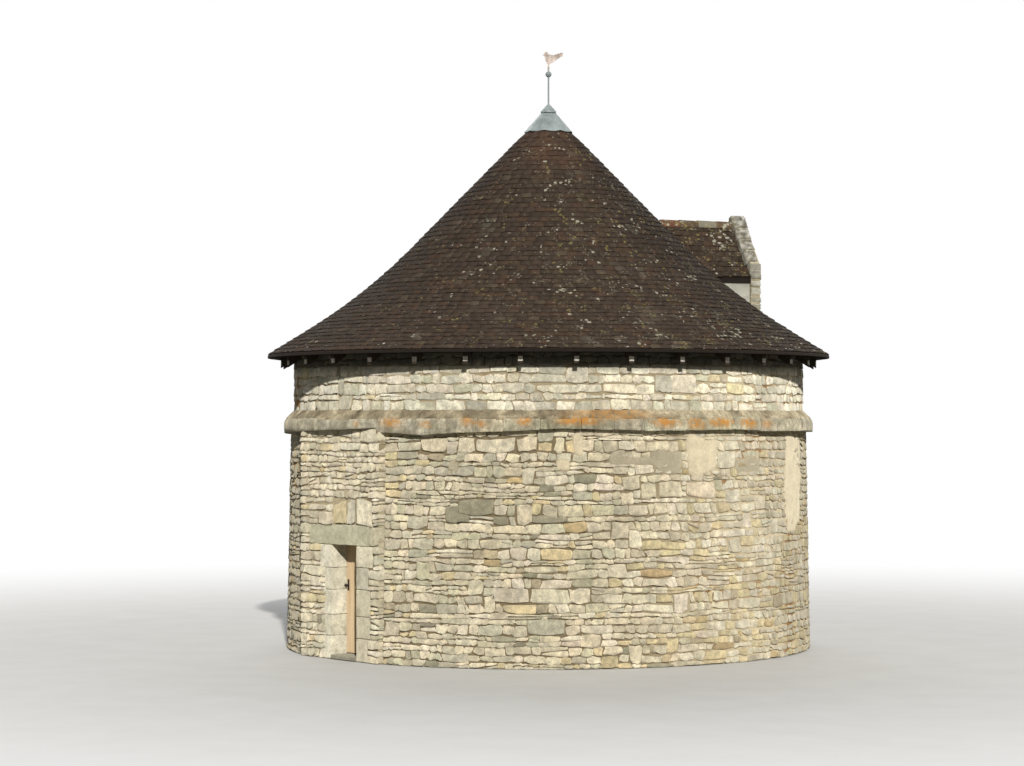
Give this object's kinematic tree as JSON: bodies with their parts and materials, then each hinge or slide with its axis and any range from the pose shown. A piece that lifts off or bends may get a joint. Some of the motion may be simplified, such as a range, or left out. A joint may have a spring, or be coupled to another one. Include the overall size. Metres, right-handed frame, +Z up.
{
  "type": "round dovecote",
  "caption": "Round hollow rubble-stone dovecote with a conical tiled roof, gabled flight dormer, plank door that opens and a turning bird weathervane.",
  "frame": {"origin": "on the tower's axis at ground level, the centre of the bounding box's underside", "axes": "+Z up along the tower's axis; the doorway faces -Y; +X is to the right when the door is seen from outside"},
  "size_m": [9.1598, 9.16, 9.7226],
  "materials": {
    "rubble_stone": "rough lime-bedded limestone rubble",
    "dressed_stone": "weathered dressed limestone with lichen",
    "gable_stone": "grey lichened limestone",
    "lime_render": "pale smooth lime render",
    "clay_tile": "old dark plain clay tiles with lichen",
    "old_timber": "aged sawn timber",
    "zinc_sheet": "dull weathered zinc sheet",
    "dark_iron": "dull wrought iron",
    "vane_metal": "weathered sheet metal",
    "new_wood": "light oiled planks"
  },
  "bodies": {
    "tower": {"lower_wall_1": "rubble_stone", "lower_wall_2": "rubble_stone", "lower_wall_3": "rubble_stone", "lower_wall_4": "rubble_stone", "lower_wall_5": "rubble_stone", "lower_wall_6": "rubble_stone", "lower_wall_7": "rubble_stone", "lower_wall_8": "rubble_stone", "upper_wall_1": "rubble_stone", "upper_wall_2": "rubble_stone", "upper_wall_3": "rubble_stone", "upper_wall_4": "rubble_stone", "door_wall_left": "rubble_stone", "door_wall_right": "rubble_stone", "door_wall_over": "rubble_stone", "string_course_1": "dressed_stone", "string_course_2": "dressed_stone", "string_course_3": "dressed_stone", "string_course_4": "dressed_stone", "door_lintel": "dressed_stone", "door_jamb_left": "dressed_stone", "door_jamb_right": "dressed_stone", "door_sill": "dressed_stone", "dormer_gable": "gable_stone", "dormer_ledge": "gable_stone", "dormer_cheek_left": "lime_render", "dormer_cheek_right": "lime_render", "roof_tiles_1": "clay_tile", "roof_tiles_2": "clay_tile", "roof_tiles_3": "clay_tile", "roof_tiles_4": "clay_tile", "roof_tiles_5": "clay_tile", "roof_tiles_6": "clay_tile", "dormer_roof_left": "clay_tile", "dormer_roof_right": "clay_tile", "dormer_ridge": "clay_tile", "rafters": "old_timber", "king_post": "old_timber", "roof_cap": "zinc_sheet", "finial": "dark_iron", "door_pintles": "dark_iron"},
    "weathervane": {"weathervane": "vane_metal"},
    "door": {"door_leaf": "new_wood", "door_ledges": "new_wood", "door_straps": "dark_iron", "door_lock": "dark_iron"}
  },
  "joints": [
    {"name": "door_hinge", "type": "hinge", "parent": "tower", "child": "door", "pos_m": [0.53, -3.835, 0], "axis": [0, 0, -1], "range_deg": [0, 95]},
    {"name": "vane_turn", "type": "hinge", "parent": "tower", "child": "weathervane", "pos_m": [0, 0, 9.43], "axis": [0, 0, 1], "continuous": true}
  ]
}
